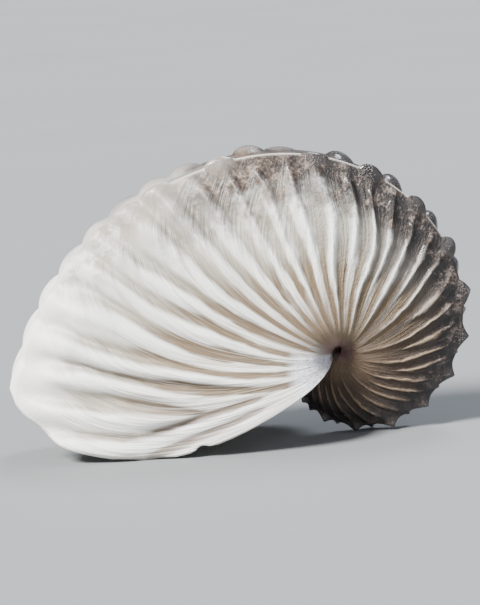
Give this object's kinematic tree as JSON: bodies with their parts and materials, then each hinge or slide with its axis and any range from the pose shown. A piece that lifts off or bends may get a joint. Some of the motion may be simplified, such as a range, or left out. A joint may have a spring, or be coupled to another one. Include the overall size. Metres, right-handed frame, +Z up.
{
  "type": "paper nautilus shell",
  "caption": "Thin coiled brood shell of an argonaut, open at one end, with ribbed flat sides and a keel edged by two rows of knobs; a natural display piece.",
  "frame": {"origin": "on the ground, below the middle of the shell's bounding box", "axes": "+X towards the early coil and away from the mouth, +Y across the shell's width along the coil's axis, +Z up; the shell stands on its mouth's edge and on the keel of its early coil"},
  "size_m": [0.0806, 0.031, 0.051],
  "materials": {
    "shell": "smooth, faintly silky calcite, cream-white, dark brown along the keel of the early coil"
  },
  "bodies": {
    "root": {"shell": "shell"}
  },
  "joints": []
}
